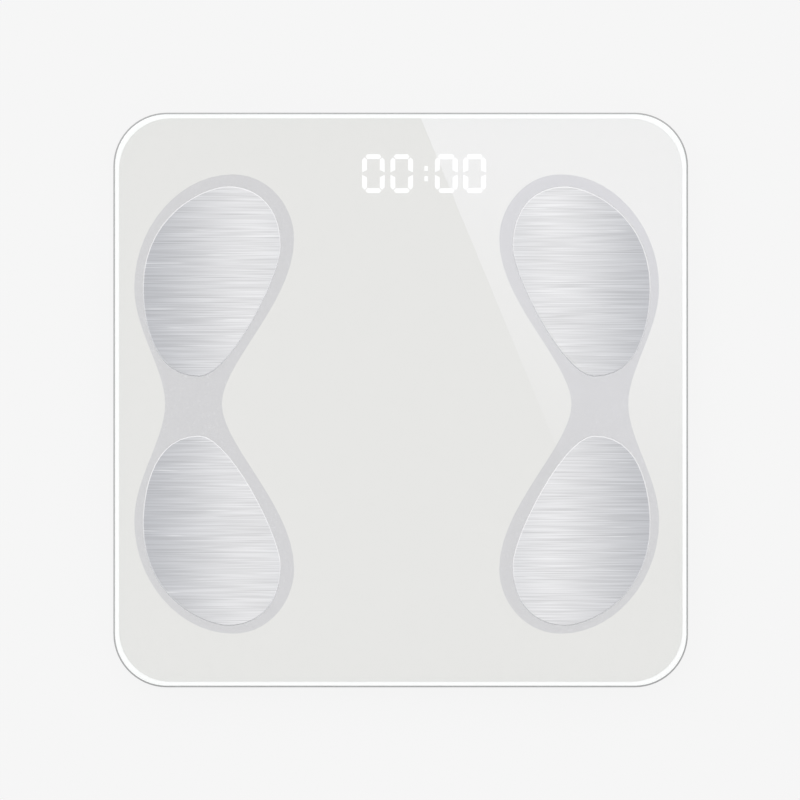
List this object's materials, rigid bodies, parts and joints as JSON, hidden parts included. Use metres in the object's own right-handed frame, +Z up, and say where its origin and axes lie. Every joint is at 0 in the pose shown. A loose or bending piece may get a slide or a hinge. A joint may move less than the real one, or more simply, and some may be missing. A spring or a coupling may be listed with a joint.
{
  "type": "digital bathroom scale",
  "caption": "Square glass bathroom scale with egg-shaped steel electrodes, a hidden segment display and sprung load-cell feet under a moulded tray.",
  "frame": {"origin": "centre of the footprint at floor level, below the middle of the scale", "axes": "+Z up, +Y away from the user towards the display, +X to the user's right"},
  "size_m": [0.28, 0.28, 0.0248],
  "materials": {
    "clear_glass": "clear polished",
    "print_grey": "light grey screen print under the glass",
    "print_silver": "silver-grey screen print with fine sparkle under the glass",
    "white_foam": "white closed-cell foam tape",
    "brushed_steel": "brushed from left to right",
    "plated_steel": "nickel-plated, satin",
    "white_abs": "fine texture",
    "grey_abs": "light grey with a fine spark-eroded texture",
    "white_wire": "PVC insulation",
    "button_grey": "satin",
    "battery_jacket": "plain jacket",
    "black_wire": "PVC insulation",
    "red_wire": "PVC insulation",
    "green_board": "solder resist",
    "black_plastic": "moulded",
    "tan_ceramic": "small components",
    "black_foam": "foam gasket",
    "lit_white": "lit display segments",
    "cell_steel": "sheet steel",
    "white_silicone": "potting",
    "grey_rubber": "moulded, matt"
  },
  "bodies": {
    "platform": {"glass_panel": "clear_glass", "backing_print": "print_grey", "field_print_left": "print_silver", "field_print_right": "print_silver", "foam_tape": "white_foam", "electrode_front_left": "brushed_steel", "electrode_front_right": "brushed_steel", "electrode_rear_left": "brushed_steel", "electrode_rear_right": "brushed_steel", "electrode_studs": "plated_steel", "stud_nuts": "plated_steel", "ring_terminals": "plated_steel", "electrode_leads": "black_wire", "base_tray": "grey_abs", "battery_front": "battery_jacket", "battery_middle": "battery_jacket", "battery_rear": "battery_jacket", "battery_springs": "plated_steel", "battery_contacts": "plated_steel", "battery_leads": "red_wire", "main_board": "green_board", "board_parts": "tan_ceramic", "controller_chip": "black_plastic", "board_screws": "plated_steel", "display_frame": "white_abs", "display_gasket": "black_foam", "lit_segments": "lit_white", "dark_segments": "print_grey", "unit_switch": "black_plastic", "load_cell_front_left": "cell_steel", "load_cell_front_right": "cell_steel", "load_cell_rear_left": "cell_steel", "load_cell_rear_right": "cell_steel", "gauge_seals": "white_silicone", "clamp_screws": "plated_steel", "cell_clamp_front_left": "white_abs", "cell_clamp_front_right": "white_abs", "cell_clamp_rear_left": "white_abs", "cell_clamp_rear_right": "white_abs", "cell_lead_front_left": "white_wire", "cell_lead_front_right": "white_wire", "cell_lead_rear_left": "white_wire", "cell_lead_rear_right": "white_wire"},
    "foot_front_left": {"foot_cup_front_left": "grey_abs", "foot_pad_front_left": "grey_rubber", "foot_screw_front_left": "plated_steel"},
    "foot_front_right": {"foot_cup_front_right": "grey_abs", "foot_pad_front_right": "grey_rubber", "foot_screw_front_right": "plated_steel"},
    "foot_rear_left": {"foot_cup_rear_left": "grey_abs", "foot_pad_rear_left": "grey_rubber", "foot_screw_rear_left": "plated_steel"},
    "foot_rear_right": {"foot_cup_rear_right": "grey_abs", "foot_pad_rear_right": "grey_rubber", "foot_screw_rear_right": "plated_steel"},
    "battery_door": {"battery_door": "grey_abs"},
    "unit_button": {"unit_button": "button_grey", "switch_plunger": "black_plastic"}
  },
  "joints": [
    {"name": "foot_front_left_press", "type": "slide", "parent": "platform", "child": "foot_front_left", "axis": [0, 0, 1], "range_m": [0, 0.0008], "stiffness_N_per_m": 500, "springref_m": -0.0092, "deforming": ["load_cell_front_left"]},
    {"name": "foot_front_right_press", "type": "slide", "parent": "platform", "child": "foot_front_right", "axis": [0, 0, 1], "range_m": [0, 0.0008], "stiffness_N_per_m": 500, "springref_m": -0.0092, "deforming": ["load_cell_front_right"]},
    {"name": "foot_rear_left_press", "type": "slide", "parent": "platform", "child": "foot_rear_left", "axis": [0, 0, 1], "range_m": [0, 0.0008], "stiffness_N_per_m": 500, "springref_m": -0.0092, "deforming": ["load_cell_rear_left"]},
    {"name": "foot_rear_right_press", "type": "slide", "parent": "platform", "child": "foot_rear_right", "axis": [0, 0, 1], "range_m": [0, 0.0008], "stiffness_N_per_m": 500, "springref_m": -0.0092, "deforming": ["load_cell_rear_right"]},
    {"name": "battery_door_swing", "type": "hinge", "parent": "platform", "child": "battery_door", "pos_m": [-0.0307, 0.038, 0.0063], "axis": [0, 1, 0], "range_deg": [0, 80]},
    {"name": "unit_button_press", "type": "slide", "parent": "platform", "child": "unit_button", "axis": [0, 0, 1], "range_m": [0, 0.0005], "stiffness_N_per_m": 2500}
  ]
}
